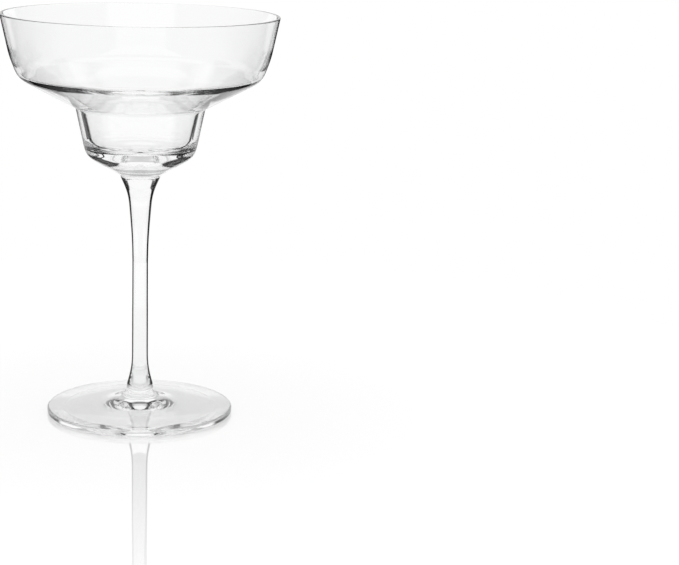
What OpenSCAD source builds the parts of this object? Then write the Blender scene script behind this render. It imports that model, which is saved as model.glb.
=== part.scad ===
// Stepped margarita glass in clear crystal: a blown bowl, a drawn stem and a pressed foot,
// fused face to face. The glass stands on z = 0 with its axis on Z. Sizes are in millimetres.

/* [Whole glass] */
// Height of the glass, from the table to the rim
glass_h = 174.5; // [160:0.5:200]
// Diameter at the rim's outer corner, before it is rounded
rim_d = 118.5; // [112:0.5:130]
// Diameter of the foot
foot_d = 81; // [70:0.5:96]

/* [Bowl outside] */
// Height of the flared side, from the shoulder's corner to the rim
side_h = 26.8; // [22:0.1:40]
// Diameter at the bend low on the flared side
bend_d = 111; // [106:0.5:111.5]
// Height of that bend above the shoulder's corner
bend_h = 9.3; // [6:0.1:14]
// Radius that softens the bend
bend_r = 50; // [20:1:60]
// Diameter at the shoulder's corner, before it is rounded
shoulder_d = 104; // [96:0.5:106]
// Radius of the shoulder
shoulder_r = 12; // [6:0.5:16]
// Height of the sloping step, from the neck up to the shoulder's corner
step_h = 12.9; // [9:0.1:20]
// Diameter of the neck, where the step meets the lower cup
neck_d = 55.4; // [50:0.1:64]
// Radius of the hollow corner at the neck
neck_r = 1.3; // [0.6:0.1:4]
// Height of the lower cup, from its lower corner up to the neck
cup_h = 20.6; // [15:0.1:30]
// Diameter at the lower cup's corner, before it is rounded
cup_base_d = 46.8; // [40:0.1:52]
// Radius of the lower cup's corner
cup_base_r = 7.7; // [3:0.1:9]
// Height of the bowl's base, from the stem's joint up to the cup's corner
base_h = 9.3; // [7:0.1:14]
// Height of the collar that carries the stem's flare up to the slope of the base
collar_h = 1; // [0.4:0.1:2]
// Radius between that collar and the base
collar_r = 3; // [1:0.1:5]

/* [Bowl inside] */
// Thickness of the glass at the rim
rim_wall = 1.2; // [0.9:0.05:2]
// Thickness at the bend of the side
bend_wall = 1.4; // [1:0.05:2.4]
// Thickness at the shoulder
shoulder_wall = 1.9; // [1.2:0.05:3]
// Radius of the shoulder inside the bowl
shoulder_in_r = 5; // [2:0.5:12]
// Thickness at the neck
neck_wall = 2.3; // [1.6:0.05:4]
// Thickness of the lower cup's wall at its floor
cup_wall = 3; // [2:0.05:5]
// Height of the lower cup's floor above the cup's outer corner
floor_h = 4; // [3:0.1:8]
// Radius between the lower cup's wall and its floor
floor_r = 6; // [2:0.1:9]
// How far the floor dips at its middle
floor_dip = 2.4; // [0.5:0.1:3]

/* [Stem] */
// Diameter of the stem where the bowl is fused on
bowl_joint_d = 17.2; // [13:0.1:22]
// Length of the flare under the bowl
top_flare_l = 7.6; // [4:0.1:14]
// Diameter at the bottom of that flare, before it is rounded
top_flare_d = 10.4; // [8.5:0.1:12.5]
// Radius that softens the flare under the bowl
top_flare_r = 29; // [10:1:60]
// Length of the taper from the flare down to the slim part
taper_l = 21.5; // [10:0.1:40]
// Diameter at the top of the slim part
slim_d = 6.8; // [6:0.1:8]
// Radius that softens the end of the taper
taper_r = 240; // [60:1:300]
// Diameter at the bottom of the slim part
slim_low_d = 7; // [6:0.1:8.4]
// Length of the flare above the foot
low_flare_l = 7.8; // [5:0.1:16]
// Radius that softens the flare above the foot
low_flare_r = 50; // [15:1:90]
// Diameter of the stem where the foot is fused on
foot_joint_d = 11.2; // [9:0.1:16]

/* [Foot] */
// Thickness of the foot at its edge
foot_edge_t = 2.6; // [2:0.05:4]
// Radius of the edge's upper corner
edge_top_r = 0.9; // [0.3:0.05:1.2]
// Radius of the edge's lower corner
edge_low_r = 0.7; // [0.3:0.05:1]
// Height of the foot's boss, from the table to the stem's joint
foot_h = 12.4; // [10:0.1:18]
// Diameter at the bottom of the boss, before it is rounded
boss_d = 13.4; // [12:0.1:18]
// Height of the boss's bottom above the table
boss_base_h = 7.6; // [6.2:0.1:9]
// Radius between the boss and the skirt around it
boss_r = 4; // [1:0.1:6]
// Diameter of the skirt that slopes from the boss down to the foot's top, before it is rounded
skirt_d = 28.4; // [22:0.1:40]
// Height of the foot's top at the edge of the skirt
skirt_h = 4.7; // [4.2:0.1:5.6]
// Radius that softens the edge of the skirt
skirt_r = 26; // [5:1:40]
// Diameter of the hollow under the foot, inside the ring that it stands on
hollow_d = 66; // [44:0.5:70]
// Depth of that hollow at its middle
hollow_h = 1.8; // [0.8:0.05:2.6]

/* [Hidden] */

// Largest turn of an outline between two of its points, in degrees, and the fewest steps in one arc
arc_turn = 5;
arc_steps = 6;
// Sides of a whole turn
$fn = 180;
// Share of a straight run that one rounded corner may take up, beside a rounded corner or a plain end
shared_run = 0.5;
whole_run = 0.98;
// Share of the rim's thickness that each of its two corners rounds off
rim_rounding = 0.4;
// Share of the floor's radius that its dip takes up, and the radius that softens the dip
dip_share = 0.4;
dip_r = 60;

// Heights of the bowl's corners and joint above the table, from the rim down; the stem fills what is left
shoulder_z = glass_h - side_h;
bend_z = shoulder_z + bend_h;
neck_z = shoulder_z - step_h;
cup_base_z = neck_z - cup_h;
floor_z = cup_base_z + floor_h;
bowl_joint_z = cup_base_z - base_h;

// Corners of the bowl's outside, from the rim down
rim_out = [rim_d / 2, glass_h];
bend_out = [bend_d / 2, bend_z];
shoulder_out = [shoulder_d / 2, shoulder_z];
neck_out = [neck_d / 2, neck_z];
cup_base_out = [cup_base_d / 2, cup_base_z];
bowl_joint = [bowl_joint_d / 2, bowl_joint_z];

// The stem's flare runs on into the bowl, up to the slope of the bowl's base
flare_slope = (bowl_joint_d - top_flare_d) / 2 / top_flare_l;
collar = bowl_joint + collar_h * [flare_slope, 1];

// Corners of the bowl's inside, each one wall's thickness in from the outside
rim_in = rim_out - [rim_wall, 0];
bend_in = inside(rim_out, bend_out, shoulder_out, bend_wall);
shoulder_in = inside(bend_out, shoulder_out, neck_out, shoulder_wall);
neck_in = inside(shoulder_out, neck_out, cup_base_out, neck_wall);
floor_in = [across(cup_base_out, neck_out, floor_z) - cup_wall, floor_z];
dip_in = [floor_in.x * dip_share, floor_z - floor_dip];

// A vector of length one
function unit(v) = v / norm(v);

// The vector turned a quarter turn to its left
function left_of(v) = [-v.y, v.x];

// The radius at height z on the straight run from a to b
function across(a, b, z) = a.x + (b.x - a.x) * (z - a.y) / (b.y - a.y);

// The corner that lies one wall's thickness from the runs a to b and b to c, on the axis's side
function inside(a, b, c, wall) =
    let (side = unit(a - b), next = unit(c - b))
    let (n1 = left_of(side), n2 = left_of(-next))
    b + wall * (n1 + n2) / (1 + n1 * n2);

// Length along a run, from its corner, that the corner's rounding may take up
function room(corner, other) =
    norm([other.x - corner.x, other.y - corner.y]) * (other.z > 0 ? shared_run : whole_run);

// Points of one corner b of an outline between its neighbours a and c, rounded by radius b.z
function rounded_corner(a, b, c) =
    let (p = [b.x, b.y])
    let (u = unit([a.x, a.y] - p), v = unit([c.x, c.y] - p))
    let (half = acos(u * v) / 2)
    let (r = min(b.z, min(room(b, a), room(b, c)) * tan(half)))
    r <= 0 ? [p] :
    let (middle = p + unit(u + v) * r / sin(half))
    let (from = p + u * r / tan(half) - middle, to = p + v * r / tan(half) - middle)
    let (start = atan2(from.y, from.x))
    let (turn = atan2(from.x * to.y - from.y * to.x, from * to))
    let (steps = max(arc_steps, ceil(abs(turn) / arc_turn)))
    [for (i = [0 : steps]) middle + r * [cos(start + turn * i / steps), sin(start + turn * i / steps)]];

// An outline from its corners, each given as [radius, height, rounding]
function rounded(corners) =
    let (n = len(corners))
    [for (i = [0 : n - 1])
        each rounded_corner(corners[(i + n - 1) % n], corners[i], corners[(i + 1) % n])];

// A corner of an outline with its rounding
function corner(p, rounding = 0) = [p.x, p.y, rounding];

// Points of the shallow dome of height h over a circle of radius r, from the middle outwards
function dome(r, h) =
    let (ball = (r * r + h * h) / (2 * h))
    let (half = asin(r / ball))
    let (steps = max(arc_steps, ceil(half / arc_turn)))
    [for (i = [0 : steps]) [ball * sin(half * i / steps), h - ball + ball * cos(half * i / steps)]];

// A solid of glass turned from half of its section
module turned(outline) {
    rotate_extrude() polygon(outline);
}

module bowl() {
    color("aliceblue", 0.5)
    turned(rounded([
        corner([0, bowl_joint_z]),
        corner(bowl_joint),
        corner(collar, collar_r),
        corner(cup_base_out, cup_base_r),
        corner(neck_out, neck_r),
        corner(shoulder_out, shoulder_r),
        corner(bend_out, bend_r),
        corner(rim_out, rim_wall * rim_rounding),
        corner(rim_in, rim_wall * rim_rounding),
        corner(bend_in, bend_r - bend_wall),
        corner(shoulder_in, shoulder_in_r),
        corner(neck_in, neck_r + neck_wall),
        corner(floor_in, floor_r),
        corner(dip_in, dip_r),
        corner([0, dip_in.y])
    ]));
}

module stem() {
    color("lightcyan", 0.5)
    turned(rounded([
        corner([0, foot_h]),
        corner([foot_joint_d / 2, foot_h]),
        corner([slim_low_d / 2, foot_h + low_flare_l], low_flare_r),
        corner([slim_d / 2, bowl_joint_z - top_flare_l - taper_l], taper_r),
        corner([top_flare_d / 2, bowl_joint_z - top_flare_l], top_flare_r),
        corner(bowl_joint),
        corner([0, bowl_joint_z])
    ]));
}

module foot() {
    color("azure", 0.5)
    turned(concat(
        dome(hollow_d / 2, hollow_h),
        rounded([
            corner([hollow_d / 2, 0]),
            corner([foot_d / 2, 0], edge_low_r),
            corner([foot_d / 2, foot_edge_t], edge_top_r),
            corner([skirt_d / 2, skirt_h], skirt_r),
            corner([boss_d / 2, boss_base_h], boss_r),
            corner([foot_joint_d / 2, foot_h]),
            corner([0, foot_h])
        ])
    ));
}

bowl();
stem();
foot();
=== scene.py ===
# %% [markdown]
# A stepped margarita glass
#
# The glass is three pieces of clear crystal: a blown bowl, a drawn stem and a pressed foot, fused while hot.
# The imported CAD model is the frame for everything here: it says where each piece is and how large it is.
# It is loaded first.

# %% Load the frame
import math

import bpy
from mathutils import Matrix, Vector


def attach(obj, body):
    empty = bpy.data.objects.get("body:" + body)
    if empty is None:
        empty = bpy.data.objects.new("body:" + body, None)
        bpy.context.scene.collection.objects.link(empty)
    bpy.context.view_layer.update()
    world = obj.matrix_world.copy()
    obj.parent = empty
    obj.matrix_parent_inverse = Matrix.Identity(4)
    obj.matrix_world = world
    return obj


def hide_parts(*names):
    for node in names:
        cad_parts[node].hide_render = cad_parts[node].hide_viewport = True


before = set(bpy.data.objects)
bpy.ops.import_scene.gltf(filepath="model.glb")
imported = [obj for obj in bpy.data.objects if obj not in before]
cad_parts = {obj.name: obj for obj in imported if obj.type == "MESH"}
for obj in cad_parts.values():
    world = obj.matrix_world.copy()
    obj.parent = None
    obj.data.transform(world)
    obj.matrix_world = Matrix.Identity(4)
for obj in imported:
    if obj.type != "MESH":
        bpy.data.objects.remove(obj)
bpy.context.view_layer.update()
scene = bpy.context.scene
scene.view_settings.view_transform = "Standard"
print("CAD nodes:", sorted(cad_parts))

# %% [markdown]
# Half sections
#
# Every piece is round, so half of its section says all there is to know about it. The corners of each half
# section are those of the CAD model, in millimetres: radius, height, and the radius that rounds the corner.
# The CAD meshes could be shown as they are, but their facets would show as stripes in clear glass, so the
# sections are turned again here, with finer corners and exact normals.

# %% The blown bowl: up its outside, over the rim, and down its inside to the floor
BOWL_WALL = [
    (8.6, 104.9, 0.0),
    (9.05, 105.9, 3.0),
    (23.4, 114.2, 7.7),
    (27.7, 134.8, 1.3),
    (52.0, 147.7, 12.0),
    (55.5, 157.0, 50.0),
    (59.25, 174.5, 0.48),
    (58.05, 174.5, 0.48),
    (54.15, 157.4, 48.6),
    (50.47, 149.04, 5.0),
    (25.67, 136.33, 3.6),
    (21.23, 118.2, 6.0),
    (8.49, 115.8, 60.0),
    (0.0, 115.8, 0.0),
]

# %% The drawn stem, from the foot's joint up to the bowl's
STEM_WALL = [
    (5.6, 12.4, 0.0),
    (3.5, 20.2, 50.0),
    (3.4, 75.8, 240.0),
    (5.2, 97.3, 29.0),
    (8.6, 104.9, 0.0),
]

# %% The pressed foot: out along its hollow underside, round the edge, and in over the skirt and the boss
FOOT_WALL = [
    (0.0, 1.8, 0.0),
    (16.54, 1.8, 303.4),
    (33.0, 0.0, 2.0),
    (40.5, 0.0, 0.7),
    (40.5, 2.6, 0.9),
    (14.2, 4.7, 26.0),
    (6.7, 7.6, 4.0),
    (5.6, 12.4, 0.0),
]
print("corners of the sections:", len(BOWL_WALL), len(STEM_WALL), len(FOOT_WALL))

# %% [markdown]
# Two kinds of corner
#
# Hot glass that is blown or drawn has no arcs with hard ends: its curves swell and fade without a break. Such
# a corner is a Bezier curve of the fifth degree here. Its first and last three control points lie on the two
# straight runs, so that the curvature starts and ends at nothing, and it passes as close to the corner as an
# arc of the given radius would. The foot is pressed in a mould that was turned on a lathe, so its corners are
# true arcs, and the ring where the skirt starts shows in the glass as a fine line.

# %% A soft corner for blown and drawn glass
CORNER_STEPS = 18
# How far the control points of a run are from the corner, as shares of the corner's reach, and how much each
# weighs in the middle of the curve
PULL = (1.0, 0.5, 0.18)
WEIGHT = (1 / 16, 5 / 16, 10 / 16)


def soft_reach(half, radius):
    """How far a soft corner reaches along its runs; half is half the angle between them."""
    middle = sum(pull * weight for pull, weight in zip(PULL, WEIGHT))
    return radius * (1 / math.sin(half) - 1) / (middle * math.cos(half))


def soft_corner(before, corner, after):
    """Points of a soft corner, each with the direction in which the section runs there."""
    control = [corner.lerp(before, pull) for pull in PULL]
    control += [corner.lerp(after, pull) for pull in reversed(PULL)]
    points = []
    for step in range(CORNER_STEPS + 1):
        share = step / CORNER_STEPS
        rest = list(control)
        while len(rest) > 2:
            rest = [p.lerp(q, share) for p, q in zip(rest, rest[1:])]
        points.append((rest[0].lerp(rest[1], share), (rest[1] - rest[0]).normalized()))
    return points


# %% An arc for pressed glass
def arc_reach(half, radius):
    """How far an arc reaches along its runs; half is half the angle between them."""
    return radius / math.tan(half)


def arc_corner(before, corner, after):
    """Points of an arc, each with the direction in which the section runs there."""
    along = (corner - before).normalized()
    onwards = (after - corner).normalized()
    turn = math.atan2(along.cross(onwards), along.dot(onwards))
    left = Vector((-along.y, along.x))
    centre = before + left * (corner - before).length / math.tan(turn / 2)
    points = []
    for step in range(CORNER_STEPS + 1):
        swing = Matrix.Rotation(turn * step / CORNER_STEPS, 2)
        points.append((centre + swing @ (before - centre), swing @ along))
    return points


# %% Round all of a section's corners
SOFT = (soft_reach, soft_corner)
PRESSED = (arc_reach, arc_corner)
# Share of a run that the corners at its two ends may take up together
RUN_SHARE = 0.98
# Millimetres to the metre
MM = 1000


def rounded(section, kind):
    """A section in metres, as points with directions, from its corners in millimetres."""
    reach, shape = kind
    corners = [Vector((radius, height)) / MM for radius, height, _ in section]
    last = len(corners) - 1
    runs = [(corners[i + 1] - corners[i]).normalized() for i in range(last)]
    lengths = [0.0] * len(corners)
    for i in range(1, last):
        half = runs[i].angle(-runs[i - 1]) / 2
        lengths[i] = reach(half, section[i][2] / MM)
    for i in range(last):
        room = RUN_SHARE * (corners[i + 1] - corners[i]).length
        wanted = lengths[i] + lengths[i + 1]
        if wanted > room:
            lengths[i] *= room / wanted
            lengths[i + 1] *= room / wanted
    points = [(corners[0], runs[0])]
    for i in range(1, last):
        before = corners[i] - runs[i - 1] * lengths[i]
        after = corners[i] + runs[i] * lengths[i]
        points += shape(before, corners[i], after)
    points.append((corners[last], runs[last - 1]))
    return points


bowl_section = rounded(BOWL_WALL, SOFT)
stem_section = rounded(STEM_WALL, SOFT)
foot_section = rounded(FOOT_WALL, PRESSED)
print("points of the sections:", len(bowl_section), len(stem_section), len(foot_section))

# %% [markdown]
# Turning
#
# Blender's Screw modifier would turn a section too, but it works out its own normals, and in glass the
# smallest error of a normal bends what is seen through it. So the rings are laid out one by one, and each
# corner of each face is given the section's true normal. A piece that is fused to its neighbour ends in a
# flat disc, which gets a material slot of its own.

# %% Turn a section into a closed solid
SIDES = 256
# Radius below which a point counts as on the axis
ON_AXIS = 1e-7
# Material slots of a piece
GLASS_SLOT = 0
JOINT_SLOT = 1


def ring(point):
    """The places of one ring, or of a single point on the axis."""
    radius, height = point
    if radius < ON_AXIS:
        return [(0.0, 0.0, height)]
    turns = [2 * math.pi * j / SIDES for j in range(SIDES)]
    return [(radius * math.cos(t), radius * math.sin(t), height) for t in turns]


def turned(name, points, joints):
    """A solid turned about Z; joints lists the ends that flat discs close, and the way that each looks."""
    places, rows = [], []
    for point, _ in points:
        made = ring(point)
        rows.append([len(places) + k for k in range(len(made))])
        places += made
    faces, normals, slots = [], [], []

    def add(corners, slot):
        faces.append([vertex for vertex, _ in corners])
        normals.extend(normal for _, normal in corners)
        slots.append(slot)

    def corner(i, j):
        row = rows[i]
        run = points[i][1]
        turn = 2 * math.pi * j / SIDES
        if len(row) == 1:
            return row[0], (0.0, 0.0, -run.x)
        return row[j % SIDES], (run.y * math.cos(turn), run.y * math.sin(turn), -run.x)

    for i in range(len(rows) - 1):
        for j in range(SIDES):
            quad = [corner(i, j), corner(i, j + 1), corner(i + 1, j + 1), corner(i + 1, j)]
            if len(rows[i]) == 1:
                quad.pop(0)
            elif len(rows[i + 1]) == 1:
                quad.pop(3)
            add(quad, GLASS_SLOT)
    for end, up in joints:
        row = rows[end]
        middle = len(places)
        places.append((0.0, 0.0, points[end][0].y))
        for j in range(SIDES):
            edge = [row[j], row[(j + 1) % SIDES]]
            edge = edge if up > 0 else edge[::-1]
            add([(vertex, (0.0, 0.0, up)) for vertex in [middle] + edge], JOINT_SLOT)
    mesh = bpy.data.meshes.new(name)
    mesh.from_pydata(places, [], faces)
    mesh.polygons.foreach_set("use_smooth", [True] * len(faces))
    mesh.polygons.foreach_set("material_index", slots)
    mesh.normals_split_custom_set(normals)
    mesh.update()
    piece = bpy.data.objects.new(name, mesh)
    scene.collection.objects.link(piece)
    print(name, "faces:", len(faces), "size in mm:", [round(side * MM, 2) for side in piece.dimensions])
    return piece


# %% The three pieces
BOTTOM, TOP = 0, -1
DOWN, UP = -1.0, 1.0
bowl = turned("crystal_bowl", bowl_section, [(BOTTOM, DOWN)])
stem = turned("crystal_stem", stem_section, [(BOTTOM, DOWN), (TOP, UP)])
foot = turned("crystal_foot", foot_section, [(TOP, UP)])

# %% [markdown]
# Arithmetic with nodes
#
# The crystal, the table and the studio all need small sums in their node trees, and wiring these by hand
# takes a page each. The helpers below make one node per call and give back its output, so that a sum can be
# written almost as it is said: both of two masks, either of them, what is outside one, a soft fade.

# %% Sums and masks
def calc(tree, operation, first, second=None):
    """A Math node; each value is a number or another node's output."""
    node = tree.nodes.new("ShaderNodeMath")
    node.operation = operation
    for socket, value in zip(node.inputs, (first, second)):
        if isinstance(value, (int, float)):
            socket.default_value = value
        elif value is not None:
            tree.links.new(value, socket)
    return node.outputs[0]


def both(tree, first, *others):
    """A mask that is on where all of the given ones are."""
    for other in others:
        first = calc(tree, "MULTIPLY", first, other)
    return first


def either(tree, first, *others):
    """A mask that is on where any of the given ones is."""
    for other in others:
        first = calc(tree, "MAXIMUM", first, other)
    return first


def outside(tree, mask):
    """A mask that is on where the given one is off."""
    return calc(tree, "SUBTRACT", 1.0, mask)


def fade(tree, value, start, end, first=0.0, last=1.0):
    """A soft change from first to last while the value goes from start to end."""
    node = tree.nodes.new("ShaderNodeMapRange")
    node.interpolation_type = "SMOOTHSTEP"
    for socket, number in (("From Min", start), ("From Max", end), ("To Min", first), ("To Max", last)):
        node.inputs[socket].default_value = number
    tree.links.new(value, node.inputs["Value"])
    return node.outputs["Result"]


def fade_out(tree, value, start, end):
    """A soft change from one to nothing while the value goes from start to end."""
    return fade(tree, value, start, end, 1.0, 0.0)


# %% Places in an object or in the world
# A radius that keeps a sector from dividing by nothing on the axis, in metres, and a sector's soft edge
LEAST_RADIUS = 1e-5
SECTOR_BLUR = 3


def place(tree, space):
    """The x, y and z of the shaded place, and its distance from the Z axis."""
    coordinates = tree.nodes.new("ShaderNodeTexCoord")
    split = tree.nodes.new("ShaderNodeSeparateXYZ")
    tree.links.new(coordinates.outputs[space], split.inputs[0])
    x, y, z = split.outputs
    squares = calc(tree, "ADD", calc(tree, "MULTIPLY", x, x), calc(tree, "MULTIPLY", y, y))
    radius = calc(tree, "MAXIMUM", calc(tree, "SQRT", squares), LEAST_RADIUS)
    return x, y, z, radius


def sector(tree, here, middle, half, blur=SECTOR_BLUR):
    """A mask over a sector seen from above: its middle, half its angle and its soft edge, in degrees."""
    x, y, _, radius = here
    east = calc(tree, "MULTIPLY", x, math.cos(math.radians(middle)))
    north = calc(tree, "MULTIPLY", y, math.sin(math.radians(middle)))
    cosine = calc(tree, "DIVIDE", calc(tree, "ADD", east, north), radius)
    return fade(tree, cosine, math.cos(math.radians(half + blur)), math.cos(math.radians(half - blur)))


# %% [markdown]
# Clear crystal
#
# Crystal has almost no colour of its own. What shows its shape is how it bends light, so the base is a
# Principled shader with full transmission and an index of refraction of 1.5. Two small things keep it from
# looking like a computed solid. Blown glass is never quite even: slow ripples of a few hundredths of a
# millimetre cross it, and the melt has the faintest streaks. And where the eye looks along a wall of real
# glass, the light has come a long way through it and has met many faces, so that edges show as dark lines;
# here that is painted shade, the base colour darkened towards black along the edges.

# %% Ripples and streaks
RIPPLE_SCALE = 45.0
RIPPLE_HEIGHT = 0.00002
STREAK_SCALE = 14.0
CLEAR = (0.992, 0.992, 0.992, 1.0)
STREAK = (0.982, 0.986, 0.986, 1.0)


def noise(tree, scale):
    """Smooth noise through the piece, with a number of swells to the metre."""
    coordinates = tree.nodes.new("ShaderNodeTexCoord")
    texture = tree.nodes.new("ShaderNodeTexNoise")
    texture.inputs["Scale"].default_value = scale
    texture.inputs["Detail"].default_value = 1.0
    tree.links.new(coordinates.outputs["Object"], texture.inputs["Vector"])
    return texture.outputs["Fac"]


# Numbers of a Mix node's sockets for colours, which share their names with other sockets of the node
COLOUR_SHARE = 0
FIRST_COLOUR = 6
LAST_COLOUR = 7
MIXED_COLOUR = 2


def mixed(tree, share, first, last):
    """A colour between two others; the first may be another node's output."""
    node = tree.nodes.new("ShaderNodeMix")
    node.data_type = "RGBA"
    tree.links.new(share, node.inputs[COLOUR_SHARE])
    if isinstance(first, tuple):
        node.inputs[FIRST_COLOUR].default_value = first
    else:
        tree.links.new(first, node.inputs[FIRST_COLOUR])
    node.inputs[LAST_COLOUR].default_value = last
    return node.outputs[MIXED_COLOUR]


# %% Painted shade along the edges
# The near-black colour of the shade painted along the glass's edges
PAINTED_EDGE_SHADE = (0.0005, 0.0005, 0.0005, 1.0)
# Where the painted shade of each edge starts and where it is full, by how far the surface turns away from the
# line of sight
STEM_EDGE = (0.40, 0.52)
SIDE_EDGE = (0.83, 0.92)
CUP_EDGE = (0.82, 0.92)
CUP_INNER_EDGE = (0.74, 0.82)
CUP_LINE = (0.225, 0.238)
# The painted dark line in the cup's wall ends where the wall's inside starts to mirror all light
CUP_LINE_END = (0.252, 0.262)
# Heights over which the painted edge shade of the flared side and of the lower cup begins or ends, in metres
SHOULDER = (0.1475, 0.1495)
NECK = (0.1335, 0.1345)
CUP_FLOOR = (0.1175, 0.119)
# The middle of the cup's wall: its radius and height at the lower corner, and how much it widens upwards
CUP_CORNER = (0.0219, 0.1142)
CUP_SLOPE = 4.3 / 20.6


def looking_along(tree):
    """How far the surface turns away from the line of sight, from 0 face on to 1 edge on."""
    weight = tree.nodes.new("ShaderNodeLayerWeight")
    weight.inputs["Blend"].default_value = 0.5
    return weight.outputs["Facing"]


def stem_edge_shade(tree):
    """Painted shade: dark edges all along the stem."""
    return fade(tree, looking_along(tree), *STEM_EDGE)


def bowl_edge_shade(tree):
    """Painted shade: thin dark edges on the flared side, and two dark lines on each side of the thick lower
    cup.
    """
    along = looking_along(tree)
    _, _, z, radius = place(tree, "Object")
    side = both(tree, fade(tree, z, *SHOULDER), fade(tree, along, *SIDE_EDGE))
    cup = both(tree, fade_out(tree, z, *NECK), fade(tree, z, *CUP_FLOOR))
    corner_radius, corner_height = CUP_CORNER
    widening = calc(tree, "MULTIPLY", calc(tree, "SUBTRACT", z, corner_height), CUP_SLOPE)
    inner = calc(tree, "LESS_THAN", radius, calc(tree, "ADD", widening, corner_radius))
    in_glass = tree.nodes.new("ShaderNodeNewGeometry").outputs["Backfacing"]
    in_air = outside(tree, in_glass)
    line = both(tree, fade(tree, along, *CUP_LINE), fade_out(tree, along, *CUP_LINE_END))
    outer_edge = both(tree, outside(tree, inner), in_air, fade(tree, along, *CUP_EDGE))
    inner_edge = both(tree, inner, in_air, fade(tree, along, *CUP_INNER_EDGE))
    inner_line = both(tree, inner, in_glass, line)
    return either(tree, side, both(tree, cup, either(tree, outer_edge, inner_edge, inner_line)))


# %% The crystal itself
def crystal(name, edges=None):
    """Clear crystal; edges is a function that gives the mask where dark shade is painted into its base
    colour.
    """
    material = bpy.data.materials.new(name)
    material.use_nodes = True
    tree = material.node_tree
    glass = tree.nodes["Principled BSDF"]
    glass.inputs["Roughness"].default_value = 0.0
    glass.inputs["IOR"].default_value = 1.5
    glass.inputs["Transmission Weight"].default_value = 1.0
    colour = mixed(tree, noise(tree, STREAK_SCALE), CLEAR, STREAK)
    # Painted shade: the base colour is darkened towards black where the edge mask is on
    if edges:
        colour = mixed(tree, edges(tree), colour, PAINTED_EDGE_SHADE)
    tree.links.new(colour, glass.inputs["Base Color"])
    ripples = tree.nodes.new("ShaderNodeBump")
    ripples.inputs["Distance"].default_value = RIPPLE_HEIGHT
    tree.links.new(noise(tree, RIPPLE_SCALE), ripples.inputs["Height"])
    tree.links.new(ripples.outputs["Normal"], glass.inputs["Normal"])
    print(name, "nodes:", len(tree.nodes))
    return material


# %% [markdown]
# Fused joints
#
# In the real glass there is no face left where the pieces were fused: light goes straight on. Here each
# piece is a closed solid, so the two discs that meet there have to let light pass as if they were not there.
# A plain Transparent shader does that, while a second glass face would bend the light again.

# %% Dress the pieces
def fused_joint():
    """A face that light passes as if it were not there."""
    material = bpy.data.materials.new("fused_joint")
    material.use_nodes = True
    tree = material.node_tree
    tree.nodes.remove(tree.nodes["Principled BSDF"])
    clear = tree.nodes.new("ShaderNodeBsdfTransparent")
    tree.links.new(clear.outputs["BSDF"], tree.nodes["Material Output"].inputs["Surface"])
    return material


joint = fused_joint()
for piece, node, glass in (
    (bowl, "bowl", crystal("blown_crystal", bowl_edge_shade)),
    (stem, "stem", crystal("drawn_crystal", stem_edge_shade)),
    (foot, "foot", crystal("pressed_crystal")),
):
    piece.data.materials.append(glass)
    piece.data.materials.append(joint)
    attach(piece, "root")
    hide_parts(node)
    print(piece.name, "stands for the CAD node", node)

# %% [markdown]
# The table
#
# The glass stands on a white sheet that is polished enough to mirror the foot and the stem. A disc is all
# it takes, a hair below the foot. A third of its white is plain paint that takes the glass's shadow, and the
# rest is a glow that only the camera and the glass see, because a real table is lit through the glass, which
# a path tracer finds hard to do. Seen through the glass or mirrored in it, the table is white only where a
# photographer would leave it so; the rest is covered with black card, which gives the glass part of its dark
# lines; the rest of them is shade painted along the glass's edges.

# %% The disc
TABLE_RADIUS = 0.32
TABLE_SIDES = 128
TABLE_GAP = 0.0002
bpy.ops.mesh.primitive_circle_add(
    vertices=TABLE_SIDES, radius=TABLE_RADIUS, fill_type="NGON", location=(0, 0, -TABLE_GAP)
)
table = bpy.context.object
table.name = "table"
print("table radius in mm:", TABLE_RADIUS * MM)

# %% Kinds of light
def glass_light(tree, path):
    """Masks of the light that comes through the glass, and of the light that is mirrored in it."""
    through = path.outputs["Is Transmission Ray"]
    mirrored = both(tree, path.outputs["Is Glossy Ray"], outside(tree, through))
    return through, mirrored


def at_least(tree, count, number):
    """A mask that is on where a whole number has reached another one."""
    return calc(tree, "GREATER_THAN", count, number - 0.5)


def direct_light(tree, path):
    """A mask of the light that no dull surface has scattered yet."""
    return outside(tree, at_least(tree, path.outputs["Diffuse Depth"], 1))


# %% Where the table is covered with black card
# The way that the camera looks, the way back, and the middle of the white wall, in degrees about the glass
LOOK = 315
BACK = LOOK - 180
MAIN_WALL = LOOK - 3
# Half the angles that stay bare behind the glass and before it
BARE_BEHIND = 46
BARE_BEFORE = 67
# The middles of the two cards beside the glass, on both sides of the wall's middle, and half of their angle
BESIDE = 67
BESIDE_HALF = 42
# Radii over which the card begins round the foot, and over which the near card ends, in metres
CARD_BEGIN = (0.05, 0.07)
CARD_END = (0.19, 0.21)


def card_on_table(tree, path):
    """The mask of the black card, for light that comes through the glass or is mirrored in it."""
    here = place(tree, "Object")
    _, _, _, radius = here
    through, mirrored = glass_light(tree, path)
    behind = sector(tree, here, MAIN_WALL, BARE_BEHIND)
    before = sector(tree, here, BACK, BARE_BEFORE)
    bare = either(tree, behind, before, fade_out(tree, radius, *CARD_BEGIN))
    left = sector(tree, here, MAIN_WALL + BESIDE, BESIDE_HALF)
    right = sector(tree, here, MAIN_WALL - BESIDE, BESIDE_HALF)
    near = fade_out(tree, radius, *CARD_END)
    ring_card = both(tree, fade(tree, radius, *CARD_BEGIN), either(tree, near, left, right))
    card = either(tree, both(tree, through, outside(tree, bare)), both(tree, mirrored, ring_card))
    return both(tree, card, direct_light(tree, path))


# %% The polished white sheet
PAINT = (0.36, 0.36, 0.36, 1.0)
BLACK = (0.0, 0.0, 0.0, 1.0)
GLOW = 0.71
# Share of the glow that the glass sees
GLASS_SHARE = 0.90
POLISH = (0.9, 0.9, 0.9, 1.0)
# Share of the polish at the foot, and the radii over which it fades, in metres
MIRROR = 0.5
MIRROR_FADE = (0.03, 0.30)


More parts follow.
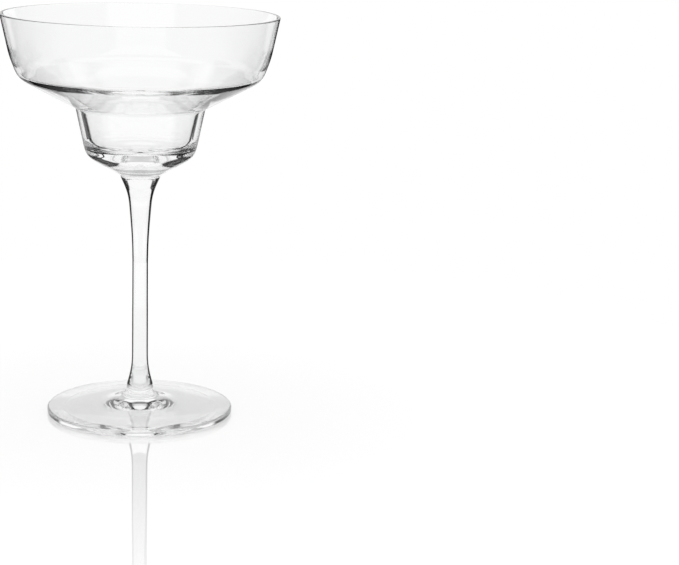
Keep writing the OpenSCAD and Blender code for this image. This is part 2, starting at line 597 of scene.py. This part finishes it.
def polished_white():
    """White paint, a glow and a polish that fades outwards."""
    material = bpy.data.materials.new("polished_white")
    material.use_nodes = True
    tree = material.node_tree
    tree.nodes.remove(tree.nodes["Principled BSDF"])
    path = tree.nodes.new("ShaderNodeLightPath")
    card = card_on_table(tree, path)
    paint = tree.nodes.new("ShaderNodeBsdfDiffuse")
    tree.links.new(mixed(tree, card, PAINT, BLACK), paint.inputs["Color"])
    by_glass = either(tree, path.outputs["Is Glossy Ray"], path.outputs["Is Transmission Ray"])
    seen = either(tree, path.outputs["Is Camera Ray"], both(tree, by_glass, GLASS_SHARE))
    seen = both(tree, seen, outside(tree, card))
    glow = tree.nodes.new("ShaderNodeEmission")
    tree.links.new(calc(tree, "MULTIPLY", seen, GLOW), glow.inputs["Strength"])
    white = tree.nodes.new("ShaderNodeAddShader")
    tree.links.new(paint.outputs["BSDF"], white.inputs[0])
    tree.links.new(glow.outputs["Emission"], white.inputs[1])
    polish = tree.nodes.new("ShaderNodeBsdfGlossy")
    polish.inputs["Color"].default_value = POLISH
    polish.inputs["Roughness"].default_value = 0.0
    sheet = tree.nodes.new("ShaderNodeMixShader")
    _, _, _, radius = place(tree, "Object")
    tree.links.new(fade(tree, radius, *MIRROR_FADE, MIRROR, 0.0), sheet.inputs["Fac"])
    tree.links.new(white.outputs["Shader"], sheet.inputs[1])
    tree.links.new(polish.outputs["BSDF"], sheet.inputs[2])
    tree.links.new(sheet.outputs["Shader"], tree.nodes["Material Output"].inputs["Surface"])
    print("polished_white nodes:", len(tree.nodes))
    return material


table.data.materials.append(polished_white())

# %% [markdown]
# The studio
#
# Clear glass on white is photographed in bright field: one white wall behind the glass, and black card beside
# it, just out of the picture. The glass bends the black in along its edges. The wall is narrow, so that the
# thick lower cup draws its inner line, and wider in the band of heights that the stem bends light to. Two
# more walls stand behind the glass in the frame's own side views. Light that the inside of the glass mirrors
# goes other ways, so it has white of its own, and the clear parts of the bowl stay clear. The camera and the
# table itself see plain white all round. Lamps and planes could be set up for this, but a world that is
# painted by direction is exact, has no edges in the way of other views, and is free of noise.

# %% Directions in the world
HEIGHT_BLUR = 2
world = bpy.data.worlds.new("studio")
scene.world = world
world.use_nodes = True
studio = world.node_tree
sky = place(studio, "Generated")
_, _, rise, _ = sky


def wall(middle, half, blur=SECTOR_BLUR):
    """A mask over directions: a wall round a level direction, in degrees."""
    return sector(studio, sky, middle, half, blur)


def above(angle, blur=HEIGHT_BLUR):
    """A mask over directions that rise above an angle, in degrees."""
    low, high = (math.sin(math.radians(angle + side)) for side in (-blur, blur))
    return fade(studio, rise, low, high)


def below(angle, blur=HEIGHT_BLUR):
    """A mask over directions below an angle, in degrees."""
    return outside(studio, above(angle, blur))


def panel(middle, half, low, high, blur=SECTOR_BLUR, low_blur=HEIGHT_BLUR, high_blur=HEIGHT_BLUR):
    """A mask over directions: a wall between two heights, in degrees."""
    return both(studio, wall(middle, half, blur), above(low, low_blur), below(high, high_blur))


# %% What the glass bends light to
SIDE_LOOKS = (90, 180)
narrow = both(studio, wall(MAIN_WALL, half=33), below(50, blur=6))
wide = panel(MAIN_WALL, half=44, low=-16, high=20, low_blur=1, high_blur=1)
sides = [panel(look, half=34, low=-10, high=5) for look in SIDE_LOOKS]
low_wall = panel(BACK, half=22, low=-33, high=-18, high_blur=1)

# %% What it mirrors inside and then lets out
FACES_OF_TWO_WALLS = 4
GREY_CARD = 0.42
light_path = studio.nodes.new("ShaderNodeLightPath")
once_mirrored = at_least(studio, light_path.outputs["Glossy Depth"], 1)
walls_crossed = at_least(studio, light_path.outputs["Transmission Depth"], FACES_OF_TWO_WALLS)
back_wall = both(studio, panel(BACK, half=30, low=10, high=40), once_mirrored)
far_side = both(studio, above(-6), below(40), once_mirrored, walls_crossed)
ceiling = both(studio, above(55, blur=4), once_mirrored)
bright = either(studio, narrow, wide, *sides, low_wall, back_wall, far_side, ceiling)
grey_card = panel(MAIN_WALL, half=60, low=7, high=24, blur=10, low_blur=1, high_blur=1)
grey_card = both(studio, grey_card, once_mirrored, GREY_CARD)

# %% What it mirrors outside
SIDE_CARD = 0.65
SIDE_CARD_TURN = 61
band = both(studio, above(-11), below(-2))
left_card = panel(MAIN_WALL + SIDE_CARD_TURN, half=49, low=-24, high=-2, blur=4)
right_card = panel(MAIN_WALL - SIDE_CARD_TURN, half=49, low=-24, high=-2, blur=4)
side_cards = both(studio, either(studio, left_card, right_card), SIDE_CARD)
mirrored_card = either(studio, band, side_cards)

# %% The world's light
WHITE = (1.0, 1.0, 1.0, 1.0)
through, mirrored = glass_light(studio, light_path)
seen_through = either(studio, outside(studio, bright), grey_card)
dark = either(studio, both(studio, through, seen_through), both(studio, mirrored, mirrored_card))
dark = both(studio, dark, direct_light(studio, light_path))
light = studio.nodes["Background"]
light.inputs["Color"].default_value = WHITE
studio.links.new(outside(studio, dark), light.inputs["Strength"])
print("nodes of the studio:", len(studio.nodes))

# %% Enough bounces for light that crosses many faces
FACES_CROSSED = 32
scene.cycles.max_bounces = FACES_CROSSED
scene.cycles.transmission_bounces = FACES_CROSSED
scene.cycles.glossy_bounces = FACES_CROSSED
print("faces that light may cross:", FACES_CROSSED)

# %% [markdown]
# The camera
#
# The camera's place, tilt and focal length were worked out from the photograph: the rim, the neck and the
# foot are circles in the glass and ellipses in the picture. The glass stands left of the middle and the
# camera leans by a degree and a half. The glass is round, so the whole set can be turned about it: the camera
# looks along the diagonal of the frame, which leaves the frame's own front and side views their white walls.

# %% Set up the camera
IMAGE_WIDTH = 679
FOCAL_PIXELS = 1920.7
SENSOR = 36.0
# The camera was worked out as if it looked along Y, at 90 degrees, and is turned to its own way at the end
CAMERA_PLACE = Vector((0.0, -0.8224, 0.2463))
FITTED_LOOK = 90
CAMERA_TURN = math.radians(LOOK - FITTED_LOOK)
YAW = math.radians(6.077)
PITCH = math.radians(12.815)
ROLL = math.radians(1.529)
forward = Vector((math.sin(YAW) * math.cos(PITCH), math.cos(YAW) * math.cos(PITCH), -math.sin(PITCH)))
level = Vector((math.cos(YAW), -math.sin(YAW), 0.0))
upright = level.cross(forward)
right = math.cos(ROLL) * level + math.sin(ROLL) * upright
up = math.cos(ROLL) * upright - math.sin(ROLL) * level
aim = Matrix((right, up, -forward)).transposed().to_4x4()
lens = bpy.data.cameras.new("camera")
lens.sensor_width = SENSOR
lens.sensor_fit = "HORIZONTAL"
lens.lens = SENSOR * FOCAL_PIXELS / IMAGE_WIDTH
camera = bpy.data.objects.new("camera", lens)
scene.collection.objects.link(camera)
camera.matrix_world = Matrix.Rotation(CAMERA_TURN, 4, "Z") @ Matrix.Translation(CAMERA_PLACE) @ aim
scene.camera = camera
print("focal length in mm:", round(lens.lens, 1))

# %% Finish
bpy.context.view_layer.update()
